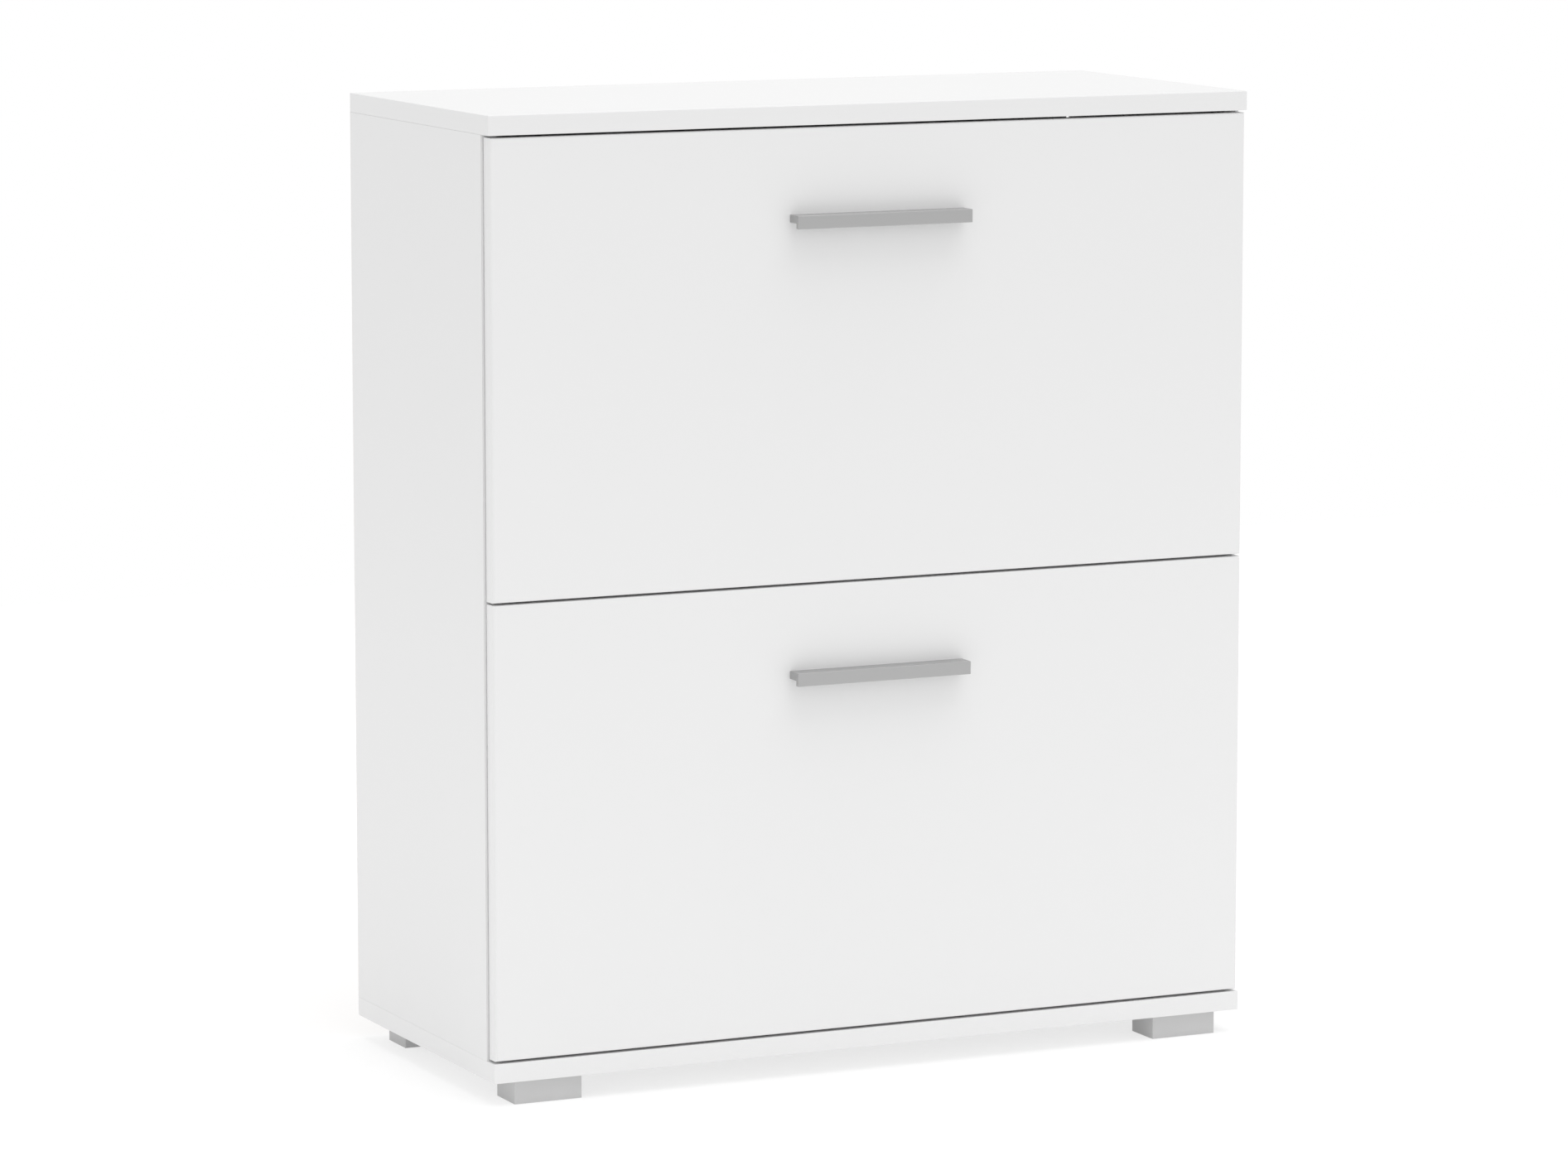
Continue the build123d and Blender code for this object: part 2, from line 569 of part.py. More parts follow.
def side_frame(flap):
    """The right-hand side frame: plate, rim, door flange, board sockets and the curved track."""
    plane = Plane(origin=(FRAME_INNER, TURN_Y, TURN_Z[flap]), x_dir=(0, 1, 0), z_dir=(1, 0, 0))
    outline = make_face(Polyline(
        (DOOR_BACK_RUN, FRAME_BOTTOM), (FRAME_REAR, FRAME_BOTTOM), (FRAME_REAR, FRAME_REAR_HEIGHT),
        (DOOR_BACK_RUN + FLANGE_WIDTH, FRAME_FRONT_HEIGHT), (DOOR_BACK_RUN, FRAME_FRONT_HEIGHT), close=True))
    rear_corners = outline.vertices().sort_by(Axis.X)[2:]
    outline = fillet(rear_corners, FRAME_CORNER)
    track = SlotArc(arc=CenterArc((0, 0), TRACK_RADIUS, LOW_PEG_ANGLE - OPEN_ANGLE - TRACK_END_PLAY,
                                  HIGH_PEG_ANGLE - LOW_PEG_ANGLE + OPEN_ANGLE + 2 * TRACK_END_PLAY),
                    height=2 * (PEG_RADIUS + TRACK_PLAY))
    window = frame_window()
    rim = outline - offset(outline, -RIM_WALL)
    plate = extrude(plane * (outline - window), FRAME_THICKNESS)
    plate += extrude(plane * rim, -RIM_HEIGHT)
    low = FRAME_INNER - SOCKET_DEPTH
    y0 = TURN_Y
    z0 = TURN_Z[flap]
    pockets = []
    for section in section_boards().values():
        wall_y_low, wall_y_high, wall_z_low, wall_z_high = grown(section, SOCKET_WALL + BOARD_PLAY)
        plate += block(low, FRAME_INNER, y0 + wall_y_low, y0 + wall_y_high, z0 + wall_z_low, z0 + wall_z_high)
        hole_y_low, hole_y_high, hole_z_low, hole_z_high = grown(section, BOARD_PLAY)
        pockets.append(block(low - HOLE_SPARE, FRAME_INNER, y0 + hole_y_low, y0 + hole_y_high,
                             z0 + hole_z_low, z0 + hole_z_high))
    for pocket in pockets:
        plate -= pocket
    plate += block(FRAME_INNER - FLANGE_WIDTH, FRAME_INNER, y0 + DOOR_BACK_RUN,
                   y0 + DOOR_BACK_RUN + FLANGE_THICKNESS, z0 + FRAME_BOTTOM, z0 + FRAME_FRONT_HEIGHT)
    plate -= extrude(plane * track, FRAME_THICKNESS)
    return drilled(plate, frame_screws(flap, SCREW_PLAY) + floor_screws(flap, SCREW_PLAY))


def frame_screws(flap, play=0.0):
    """The right-hand frame's screws, through the flange into the door."""
    x = FRAME_INNER - FLANGE_WIDTH / 2
    y = DOOR_BACK + FLANGE_THICKNESS
    middle = TURN_Z[flap] + (FRAME_BOTTOM + FRAME_FRONT_HEIGHT) / 2
    heights = (middle - FLANGE_SCREW_SPACING, middle, middle + FLANGE_SCREW_SPACING)
    return [screw((x, y, z), (0, -1, 0), FITTING_SCREW, play) for z in heights]


def floor_screws(flap, play=0.0):
    """The right-hand frame's screws, through its plate into the ends of the floor boards."""
    made = []
    for name in ("front_floor", "rear_floor"):
        y_low, y_high, z_low, z_high = section_boards()[name]
        z = TURN_Z[flap] + (z_low + z_high) / 2
        for y in (y_low + FLOOR_SCREW_INSET, y_high - FLOOR_SCREW_INSET):
            made.append(screw((FRAME_OUTER, TURN_Y + y, z), (-1, 0, 0), BOARD_SCREW, play))
    return made


def door(flap):
    """A flap's front, rounded all round its front face."""
    bottom = DOOR_BOTTOMS[flap]
    board = block(-DOOR_HALF_WIDTH, DOOR_HALF_WIDTH, DOOR_SETBACK, DOOR_BACK, bottom, bottom + DOOR_HEIGHT)
    front = board.faces().sort_by(Axis.Y)[0]
    return fillet(front.edges(), DOOR_ROUNDING)


def handle_top(flap):
    """Height of a handle's upper face."""
    return DOOR_BOTTOMS[flap] + DOOR_HEIGHT - HANDLE_DROP


def handle(flap):
    """A bar handle of L section: a web from the door and a deeper plate in front."""
    top = handle_top(flap)
    plate_back = HANDLE_FRONT + HANDLE_PLATE_THICKNESS
    section = Plane.YZ * make_face(Polyline(
        (DOOR_SETBACK, top), (HANDLE_FRONT, top), (HANDLE_FRONT, top - HANDLE_PLATE_HEIGHT),
        (plate_back, top - HANDLE_PLATE_HEIGHT), (plate_back, top - HANDLE_WEB_HEIGHT),
        (DOOR_SETBACK, top - HANDLE_WEB_HEIGHT), close=True))
    bar = extrude(section, HANDLE_LENGTH / 2, both=True)
    visible = [edge for edge in bar.edges() if edge.center().Y < DOOR_SETBACK - NEAR]
    inner = [edge for edge in visible if abs(edge.center().Y - plate_back) < NEAR
             and abs(edge.center().Z - top + HANDLE_WEB_HEIGHT) < NEAR]
    return chamfer([edge for edge in visible if edge not in inner], HANDLE_BEVEL)


def handle_screws(flap, play=0.0):
    """Two machine screws from behind the door into the handle's web."""
    shank_radius, head_radius, head_height, _ = HANDLE_SCREW
    size = (shank_radius, head_radius, head_height, DOOR_THICKNESS + HANDLE_SCREW_REACH)
    z = handle_top(flap) - HANDLE_WEB_HEIGHT / 2
    return [screw((x, DOOR_BACK, z), (0, -1, 0), size, play)
            for x in (-HANDLE_SCREW_SPACING / 2, HANDLE_SCREW_SPACING / 2)]


# ---- Assembly ---------------------------------------------------------------------------------

def save(name, shape):
    """Write one piece, with the origin under the middle of the cabinet."""
    export_step(Pos(0, -MIDDLE_Y, 0) * shape, f"parts/{name}.step")


def both_sides(solids):
    """A list of solids on the right, and the same on the left."""
    return solids + [mirrored(solid) for solid in solids]


def build_carcass():
    """The fixed part of the cabinet."""
    cams, bolts, cam_holes = cam_fittings()
    dowels, dowel_holes = dowel_fittings()
    nails, nail_holes = back_nails()
    guides = [s for flap in TURN_Z for s in guide_screws(flap)]
    guide_holes = [s for flap in TURN_Z for s in guide_screws(flap, SCREW_PLAY)]
    holes = cam_holes + dowel_holes + nail_holes + both_sides(guide_holes)
    holes += foot_screws(SCREW_PLAY) + bracket_screws(SCREW_PLAY)

    save("top_panel", drilled(outer_panel(TOP_BOTTOM, TOP_TOP), holes))
    save("base_panel", drilled(outer_panel(BASE_BOTTOM, BASE_TOP) - back_rebate(), holes))
    for side, sign in SIDES.items():
        save(f"side_panel_{side}", drilled(side_panel(sign), holes))
    save("middle_shelf", drilled(middle_shelf(), holes))
    save("back_panel", drilled(back_panel(), holes))
    save("rear_rail", drilled(rear_rail(), holes))
    for name, (x, y) in foot_places().items():
        save(name, drilled(foot(x, y), foot_screws(SCREW_PLAY)))
    for side, x in bracket_places().items():
        save(f"wall_bracket_{side}", drilled(wall_bracket(x), bracket_screws(SCREW_PLAY)))
    for flap in TURN_Z:
        plate = guide_plate(flap)
        save(f"{flap}_guide_right", plate)
        save(f"{flap}_guide_left", mirrored(plate))

    save("cam_locks", group(cams))
    save("cam_bolts", group(bolts))
    save("dowels", group(dowels))
    save("back_nails", group(nails))
    save("foot_screws", group(foot_screws()))
    save("bracket_screws", group(bracket_screws()))
    save("guide_screws", group(both_sides(guides)))
    save("door_buffers", group(buffers()))


def build_flap(flap):
    """One tip-out flap with its basket."""
    floor_holes = both_sides(floor_screws(flap, SCREW_PLAY))
    door_holes = both_sides(frame_screws(flap, SCREW_PLAY)) + handle_screws(flap, SCREW_PLAY)
    frame = side_frame(flap)
    save(f"{flap}_frame_right", frame)
    save(f"{flap}_frame_left", mirrored(frame))
    for name in section_boards():
        save(f"{flap}_{name}", drilled(flap_board(flap, name), floor_holes))
    save(f"{flap}_door", drilled(door(flap), door_holes))
    save(f"{flap}_handle", drilled(handle(flap), handle_screws(flap, SCREW_PLAY)))
    save(f"{flap}_handle_screws", group(handle_screws(flap)))
    save(f"{flap}_frame_screws", group(both_sides(frame_screws(flap))))
    save(f"{flap}_floor_screws", group(both_sides(floor_screws(flap))))


os.makedirs("parts", exist_ok=True)
build_carcass()
for flap_name in TURN_Z:
    build_flap(flap_name)
print(f"turning lines in metres: y {(TURN_Y - MIDDLE_Y) / 1000:.5f}")
for flap_name, height in TURN_Z.items():
    print(f"  {flap_name} z {height / 1000:.5f}")
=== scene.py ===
"""Looks of a white shoe cabinet with two tip-out flaps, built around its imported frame."""
import logging
import math
from dataclasses import dataclass, field, replace
from enum import Enum
from typing import Sequence, Union

import bmesh
import bpy
from mathutils import Matrix, Vector


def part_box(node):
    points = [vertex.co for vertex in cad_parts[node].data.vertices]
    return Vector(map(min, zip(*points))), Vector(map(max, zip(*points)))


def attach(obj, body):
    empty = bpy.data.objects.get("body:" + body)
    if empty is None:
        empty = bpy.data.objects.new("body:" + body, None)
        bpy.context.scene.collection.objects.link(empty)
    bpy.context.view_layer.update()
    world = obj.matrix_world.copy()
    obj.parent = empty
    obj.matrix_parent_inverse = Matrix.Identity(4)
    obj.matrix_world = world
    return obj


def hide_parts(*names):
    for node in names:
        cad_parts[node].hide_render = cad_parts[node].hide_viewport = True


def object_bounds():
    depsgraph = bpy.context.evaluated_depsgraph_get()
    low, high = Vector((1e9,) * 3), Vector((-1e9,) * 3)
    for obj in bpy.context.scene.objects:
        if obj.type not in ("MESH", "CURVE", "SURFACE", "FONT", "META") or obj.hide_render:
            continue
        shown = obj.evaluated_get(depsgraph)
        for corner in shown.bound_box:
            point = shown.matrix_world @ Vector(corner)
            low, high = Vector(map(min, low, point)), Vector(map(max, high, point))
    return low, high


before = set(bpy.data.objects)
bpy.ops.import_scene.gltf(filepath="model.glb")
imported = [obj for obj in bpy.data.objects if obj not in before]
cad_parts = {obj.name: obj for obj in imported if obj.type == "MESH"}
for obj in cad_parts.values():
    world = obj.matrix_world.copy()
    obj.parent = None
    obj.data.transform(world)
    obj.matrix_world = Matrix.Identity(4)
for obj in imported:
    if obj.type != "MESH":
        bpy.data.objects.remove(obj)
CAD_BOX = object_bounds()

log = logging.getLogger("shoe_cabinet")

MM = 0.001                     # metres in a millimetre
PROUD = 0.03 * MM              # how far edging stands off the board it is glued to
SMOOTH_ANGLE = math.radians(32)
FLAT_WIDTH = 1.5 * MM          # wider faces are flat ones, so that small roundings don't bend their shade
SAME_PLACE = 1e-6              # points closer than this, in metres, are one point
SAME_PLANE = 1e-7              # how far from the plane of a screw's head a point of it may be
CUT_REACH = 1e-8               # how near a cutting plane a point counts as on it
SQUARE_ON = 1e-4               # how far from 1 the normal of a face across an axis may be
END_REACH = 0.1 * MM           # a fastener's points this near its end belong to that end

Box = tuple[Vector, Vector]
SocketValue = Union[float, Sequence[float], bpy.types.NodeSocket]


class Body(Enum):
    """The rigid bodies of the cabinet."""

    CABINET = "cabinet"
    UPPER = "upper_flap"
    LOWER = "lower_flap"


class Flap(Enum):
    """The two flaps, by the word that starts their nodes' names."""

    UPPER = "upper"
    LOWER = "lower"

    @property
    def body(self) -> Body:
        """The body that the flap's pieces ride on."""
        return Body.UPPER if self is Flap.UPPER else Body.LOWER


class Grain(Enum):
    """The direction that a finish's lines run in."""

    ALONG_X = 0
    ALONG_Y = 1
    ALONG_Z = 2


# ---- Colours and nodes ------------------------------------------------------------------------

def linear(hex_colour: str, gain: float = 1.0) -> tuple[float, float, float, float]:
    """Turn an sRGB hex colour into linear light.

    Args:
        hex_colour: six hex digits after a hash sign.
        gain: factor on the linear values.

    Returns:
        Red, green, blue and an alpha of one.
    """
    channels = []
    for start in (1, 3, 5):
        value = int(hex_colour[start:start + 2], 16) / 255
        straight = value / 12.92 if value <= 0.04045 else ((value + 0.055) / 1.055) ** 2.4
        channels.append(min(1.0, straight * gain))
    return channels[0], channels[1], channels[2], 1.0


def add_node(tree: bpy.types.NodeTree, kind: str, inputs: dict[Union[str, int], SocketValue] | None = None,
             **settings: object) -> bpy.types.Node:
    """Add a shader node with its settings and links.

    Args:
        tree: the node tree that takes the node.
        kind: the node's type, without its ShaderNode prefix.
        inputs: socket names or numbers, each with a value or the output that feeds it.
        settings: attributes of the node itself.

    Returns:
        The new node.
    """
    node = tree.nodes.new("ShaderNode" + kind)
    for name, value in settings.items():
        setattr(node, name, value)
    for name, value in (inputs or {}).items():
        if isinstance(value, bpy.types.NodeSocket):
            tree.links.new(value, node.inputs[name])
        else:
            node.inputs[name].default_value = value
    return node


# ---- Finishes ---------------------------------------------------------------------------------

@dataclass(frozen=True)
class Finish:
    """A surface with a fine grain, and a tone that wanders a little over a hand's width."""

    name: str
    colour: str
    roughness: float
    metallic: float = 0.0
    grain_mm: float = 1.5
    grain_height_mm: float = 0.008
    tone_wander: float = 0.01
    tone_size_mm: float = 180.0
    gloss_wander: float = 0.04

    def material(self) -> bpy.types.Material:
        """Give the finish as a material, which is made once for each name."""
        found = bpy.data.materials.get(self.name)
        if found is not None:
            return found
        material = bpy.data.materials.new(self.name)
        material.use_nodes = True
        tree = material.node_tree
        tree.nodes.clear()
        shader = add_node(tree, "BsdfPrincipled", {"Metallic": self.metallic})
        add_node(tree, "OutputMaterial", {"Surface": shader.outputs["BSDF"]})
        place = add_node(tree, "TexCoord").outputs["Object"]
        self.dress(tree, shader, place)
        return material

    def dress(self, tree: bpy.types.NodeTree, shader: bpy.types.Node, place: bpy.types.NodeSocket) -> None:
        """Colour the shader and give it its grain.

        Args:
            tree: the material's nodes.
            shader: the Principled shader.
            place: the object coordinates.
        """
        tree.links.new(self.tone(tree, place), shader.inputs["Base Color"])
        grain = add_node(tree, "TexNoise", {"Vector": place, "Scale": 1 / (self.grain_mm * MM), "Detail": 3.0,
                                            "Roughness": 0.55})
        self.roughen(tree, shader, grain.outputs["Fac"])
        self.raise_grain(tree, shader, grain.outputs["Fac"])

    def tone(self, tree: bpy.types.NodeTree, place: bpy.types.NodeSocket) -> bpy.types.NodeSocket:
        """Give the colour output: the finish's colour, a little lighter and darker in soft clouds."""
        clouds = add_node(tree, "TexNoise", {"Vector": place, "Scale": 1 / (self.tone_size_mm * MM),
                                             "Detail": 2.0})
        mixed = add_node(tree, "Mix", {0: clouds.outputs["Fac"], 6: linear(self.colour, 1 - self.tone_wander),
                                       7: linear(self.colour, 1 + self.tone_wander)}, data_type="RGBA")
        return mixed.outputs[2]

    def roughen(self, tree: bpy.types.NodeTree, shader: bpy.types.Node, height: bpy.types.NodeSocket) -> None:
        """Let the roughness follow the grain."""
        spread = add_node(tree, "MapRange", {"Value": height, "To Min": self.roughness - self.gloss_wander,
                                             "To Max": self.roughness + self.gloss_wander})
        tree.links.new(spread.outputs["Result"], shader.inputs["Roughness"])

    def raise_grain(self, tree: bpy.types.NodeTree, shader: bpy.types.Node,
                    height: bpy.types.NodeSocket) -> None:
        """Raise the grain as bump of its real height."""
        bump = add_node(tree, "Bump", {"Height": height, "Strength": 1.0,
                                       "Distance": self.grain_height_mm * MM})
        tree.links.new(bump.outputs["Normal"], shader.inputs["Normal"])


@dataclass(frozen=True)
class BrushedFinish(Finish):
    """A surface with fine lines in one direction."""

    grain: Grain = Grain.ALONG_X
    line_length_mm: float = 45.0

    def dress(self, tree: bpy.types.NodeTree, shader: bpy.types.Node, place: bpy.types.NodeSocket) -> None:
        """Colour the shader and stretch the grain into lines.

        Args:
            tree: the material's nodes.
            shader: the Principled shader.
            place: the object coordinates.
        """
        scale = [1 / (self.grain_mm * MM)] * 3
        scale[self.grain.value] = 1 / (self.line_length_mm * MM)
        stretched = add_node(tree, "Mapping", {"Vector": place, "Scale": scale})
        lines = add_node(tree, "TexNoise", {"Vector": stretched.outputs["Vector"], "Scale": 1.0,
                                            "Detail": 4.0, "Roughness": 0.6})
        mixed = add_node(tree, "Mix", {0: lines.outputs["Fac"], 6: linear(self.colour, 1 - self.tone_wander),
                                       7: linear(self.colour, 1 + self.tone_wander)},
                         data_type="RGBA")
        tree.links.new(mixed.outputs[2], shader.inputs["Base Color"])
        self.roughen(tree, shader, lines.outputs["Fac"])
        self.raise_grain(tree, shader, lines.outputs["Fac"])


@dataclass(frozen=True)
class RawBeyondFinish(Finish):
    """A white-faced board whose bare core shows past a plane, where it was sawn or left uncoated."""

    raw_light: str = "#977650"
    raw_dark: str = "#785A3B"
    raw_roughness: float = 0.85
    raw_axis: Grain = Grain.ALONG_Y
    raw_beyond_m: float = 10.0        # place of the plane along the axis; 10 m is past every piece
    raw_cloud_mm: float = 70.0

    def core(self, tree: bpy.types.NodeTree, place: bpy.types.NodeSocket) -> bpy.types.NodeSocket:
        """Give the pattern of the core, from 0 to 1: fine fibres in soft clouds."""
        fibres = add_node(tree, "TexNoise", {"Vector": place, "Scale": 1 / (self.raw_cloud_mm * MM),
                                             "Detail": 8.0, "Roughness": 0.72, "Distortion": 0.6})
        spread = add_node(tree, "MapRange", {"Value": fibres.outputs["Fac"], "From Min": 0.3,
                                             "From Max": 0.7})
        return spread.outputs["Result"]

    def dress(self, tree: bpy.types.NodeTree, shader: bpy.types.Node, place: bpy.types.NodeSocket) -> None:
        """Colour the coated part white, and the part past the plane like its core.

        Args:
            tree: the material's nodes.
            shader: the Principled shader.
            place: the object coordinates.
        """
        pattern = self.core(tree, place)
        raw = add_node(tree, "Mix", {0: pattern, 6: linear(self.raw_dark), 7: linear(self.raw_light)},
                       data_type="RGBA")
        apart = add_node(tree, "SeparateXYZ", {"Vector": place})
        bare = add_node(tree, "Math", {0: apart.outputs[self.raw_axis.value], 1: self.raw_beyond_m},
                        operation="GREATER_THAN")
        both = add_node(tree, "Mix", {0: bare.outputs["Value"], 6: self.tone(tree, place),
                                      7: raw.outputs[2]}, data_type="RGBA")
        tree.links.new(both.outputs[2], shader.inputs["Base Color"])
        rough = add_node(tree, "MapRange", {"Value": bare.outputs["Value"], "To Min": self.roughness,
                                            "To Max": self.raw_roughness})
        tree.links.new(rough.outputs["Result"], shader.inputs["Roughness"])
        grain = add_node(tree, "TexNoise", {"Vector": place, "Scale": 1 / (self.grain_mm * MM), "Detail": 3.0,
                                            "Roughness": 0.55})
        self.raise_grain(tree, shader, grain.outputs["Fac"])


@dataclass(frozen=True)
class ChipboardFinish(RawBeyondFinish):
    """Coated chipboard, whose core is pressed flakes."""

    flake_mm: float = 1.9
    flake_stretch: float = 2.4

    def core(self, tree: bpy.types.NodeTree, place: bpy.types.NodeSocket) -> bpy.types.NodeSocket:
        """Give each flake its own tone."""
        across = 1 / (self.flake_mm * MM)
        flat = add_node(tree, "Mapping", {"Vector": place,
                                          "Scale": (across / self.flake_stretch, across, across)})
        flakes = add_node(tree, "TexVoronoi", {"Vector": flat.outputs["Vector"], "Scale": 1.0,
                                               "Randomness": 1.0})
        return add_node(tree, "SeparateColor", {"Color": flakes.outputs["Color"]}).outputs[0]


@dataclass(frozen=True)
class MottledMetal(Finish):
    """Plated or cast metal whose tone and gloss change in small cells."""

    cell_mm: float = 3.0
    second_colour: str = "#B9BEC6"

    def dress(self, tree: bpy.types.NodeTree, shader: bpy.types.Node, place: bpy.types.NodeSocket) -> None:
        """Mix two metal tones in cells, and give the surface a fine grain.

        Args:
            tree: the material's nodes.
            shader: the Principled shader.
            place: the object coordinates.
        """
        cells = add_node(tree, "TexVoronoi", {"Vector": place, "Scale": 1 / (self.cell_mm * MM)})
        apart = add_node(tree, "SeparateColor", {"Color": cells.outputs["Color"]})
        mixed = add_node(tree, "Mix", {0: apart.outputs[0], 6: linear(self.colour),
                                       7: linear(self.second_colour)}, data_type="RGBA")
        tree.links.new(mixed.outputs[2], shader.inputs["Base Color"])
        grain = add_node(tree, "TexNoise", {"Vector": place, "Scale": 1 / (self.grain_mm * MM),
                                            "Detail": 3.0})
        self.roughen(tree, shader, grain.outputs["Fac"])
        self.raise_grain(tree, shader, grain.outputs["Fac"])


# Melamine-faced chipboard: a pressed matt paper face with a fine pearl texture. The real pearls are about
# 0.4 mm; they are drawn at 1.6 mm so that they show at arm's length.
MELAMINE = Finish("white_melamine_board", "#E6E6E6", 0.46, grain_mm=1.6, grain_height_mm=0.010,
                  tone_wander=0.004, tone_size_mm=260.0)
# The same board, where its pressed chipboard is left bare at the rear.
BARE_REAR_MELAMINE = ChipboardFinish("white_melamine_board_bare_rear", MELAMINE.colour, MELAMINE.roughness,
                                     grain_mm=MELAMINE.grain_mm, grain_height_mm=MELAMINE.grain_height_mm,
                                     tone_wander=MELAMINE.tone_wander, tone_size_mm=MELAMINE.tone_size_mm,
                                     raw_light="#C6A679", raw_dark="#8A6842")
# Hardboard, lacquered white on its smooth face, with its brown pressed fibres bare elsewhere.
HARDBOARD = RawBeyondFinish("white_lacquered_hardboard", "#E6E6E3", 0.5, grain_mm=1.1,
                            grain_height_mm=0.015)
# ABS edging: extruded strip, scraped flush after gluing, so a touch smoother than the boards' faces.
ABS_EDGING = BrushedFinish("white_abs_edging", "#E6E6E6", 0.38, grain_mm=0.8, grain_height_mm=0.004,
                           tone_wander=0.006, gloss_wander=0.05, line_length_mm=60.0)
# Aluminium extrusion, etched matt and clear anodised: soft grey, with faint drawing lines along it.
ANODISED = BrushedFinish("satin_anodised_aluminium", "#B8B8B8", 0.60, 1.0, grain_mm=0.35,
                         grain_height_mm=0.003, tone_wander=0.05, gloss_wander=0.07)
# ABS with a silver pigment, moulded in a spark-eroded tool: an even, fine, dull texture.
SILVER_ABS = Finish("silver_moulded_abs", "#C4C4C4", 0.52, grain_mm=0.9, grain_height_mm=0.012,
                    tone_wander=0.02, tone_size_mm=30.0, gloss_wander=0.06)
# Polypropylene frames: waxy, faintly grey moulding with flow marks.
GREY_POLYPROPYLENE = Finish("light_grey_polypropylene", "#CDCFD0", 0.36, grain_mm=2.2,
                            grain_height_mm=0.010, tone_wander=0.03, tone_size_mm=45.0)
# Carbon steel with bright zinc plating and blue passivation.
ZINC_STEEL = MottledMetal("bright_zinc_plated_steel", "#CDD0D4", 0.27, 1.0, grain_mm=0.6,
                          grain_height_mm=0.003, cell_mm=1.8)
# Zinc die casting, tumbled: darker and duller than the plated steel.
ZINC_CASTING = MottledMetal("tumbled_zinc_casting", "#A6A7AA", 0.46, 1.0, grain_mm=0.7,
                            grain_height_mm=0.012, cell_mm=2.4, second_colour="#98999D")
# Beech dowel rod: pink-brown, with short darker flecks along the grain.
BEECH = BrushedFinish("beech_dowel", "#C9A373", 0.6, grain_mm=0.7, grain_height_mm=0.03, tone_wander=0.22,
                      line_length_mm=9.0, grain=Grain.ALONG_Z)
# Cast polyurethane buffer: soft, milky and slightly tacky.
BUFFER_RUBBER = Finish("milky_polyurethane", "#DADAD4", 0.30, grain_mm=1.0, grain_height_mm=0.004)


# ---- Mesh helpers -----------------------------------------------------------------------------

def add_piece(name: str, shape: bmesh.types.BMesh, finish: Finish, body: Body,
              replaced: Sequence[str] = ()) -> bpy.types.Object:
    """Turn a bmesh into a finished piece that rides on a body.

    Args:
        name: the piece's name.
        shape: the mesh, in metres, in its place. It is freed here.
        finish: the finish of all its faces.
        body: the body that it moves with.
        replaced: the CAD nodes that it stands for.

    Returns:
        The new object.
    """
    bmesh.ops.remove_doubles(shape, verts=shape.verts, dist=SAME_PLACE)
    bmesh.ops.recalc_face_normals(shape, faces=shape.faces)
    mesh = bpy.data.meshes.new(name)
    shape.to_mesh(mesh)
    shape.free()
    mesh.shade_smooth()
    mesh.set_sharp_from_angle(angle=SMOOTH_ANGLE)
    for polygon in mesh.polygons:
        corners = [mesh.vertices[index].co for index in polygon.vertices]
        longest = max((b - a).length for a, b in zip(corners, corners[1:] + corners[:1]))
        polygon.use_smooth = polygon.area < FLAT_WIDTH * longest
    mesh.materials.append(finish.material())
    piece = bpy.data.objects.new(name, mesh)
    bpy.context.scene.collection.objects.link(piece)
    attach(piece, body.value)
    if replaced:
        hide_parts(*replaced)
    log.info("%s: %d faces on %s", name, len(mesh.polygons), body.value)
    return piece


def dress_node(node: str, finish: Finish) -> None:
    """Give a CAD node a finish.

    Args:
        node: the node's name.
        finish: its finish.
    """
    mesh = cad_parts[node].data
    material = finish.material()
    if mesh.materials:
        for index in range(len(mesh.materials)):
            mesh.materials[index] = material
    else:
        mesh.materials.append(material)
    log.info("%s: %s", node, finish.name)


def solid_box(low: Vector, high: Vector) -> bmesh.types.BMesh:
    """A box between two corners."""
    shape = bmesh.new()
    size = high - low
    place = Matrix.Translation((low + high) / 2) @ Matrix.Diagonal((size.x, size.y, size.z, 1))
    bmesh.ops.create_cube(shape, size=1.0, matrix=place)
    return shape


def edges_at(shape: bmesh.types.BMesh, axis: int, place: float) -> list[bmesh.types.BMEdge]:
    """The edges that lie in a plane across an axis.

    Args:
        shape: the mesh.
        axis: 0, 1 or 2 for X, Y or Z.
        place: where the plane crosses the axis, in metres.

    Returns:
        The edges whose two ends are in the plane.
    """
    return [edge for edge in shape.edges if all(abs(v.co[axis] - place) < SAME_PLACE for v in edge.verts)]


def round_edges(shape: bmesh.types.BMesh, edges: Sequence[bmesh.types.BMEdge], radius: float,
                segments: int) -> None:
    """Round edges with a true arc."""
    bmesh.ops.bevel(shape, geom=list(edges), offset=radius, offset_type="OFFSET", segments=segments,
                    profile=0.5, affect="EDGES", material=-1, clamp_overlap=True)


# ---- Edging -----------------------------------------------------------------------------------

